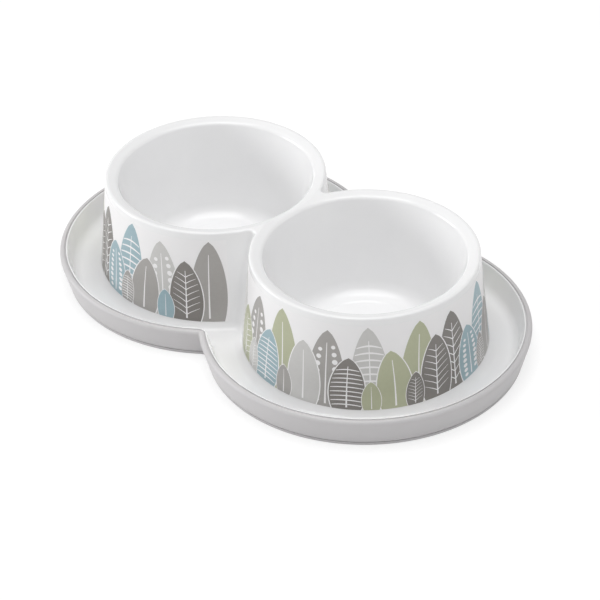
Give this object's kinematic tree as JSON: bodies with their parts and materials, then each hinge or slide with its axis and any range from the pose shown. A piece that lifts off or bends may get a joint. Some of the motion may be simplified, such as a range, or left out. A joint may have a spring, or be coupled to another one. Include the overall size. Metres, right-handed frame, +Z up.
{
  "type": "double pet bowl",
  "caption": "Low feeding station with round cups joined at their rims, flared printed skirts and a figure-eight spill tray edged with a soft non-slip band.",
  "frame": {"origin": "on the table, under the middle of the web between the cups", "axes": "+X along the row of cups, from the left cup to the right one; +Z up; +Y across, away from the front"},
  "size_m": [0.3262, 0.1992, 0.069],
  "materials": {
    "white_moulding": "satin gloss injection-moulded white polypropylene",
    "soft_band": "smooth satin grey thermoplastic elastomer, moulded on",
    "printed_film": "in-mould film with a satin surface, white with a pastel pattern of grey, taupe, sage and dusty blue"
  },
  "bodies": {
    "root": {"bowl_body": "white_moulding", "non_slip_band": "soft_band", "label_left": "printed_film", "label_right": "printed_film"}
  },
  "joints": []
}
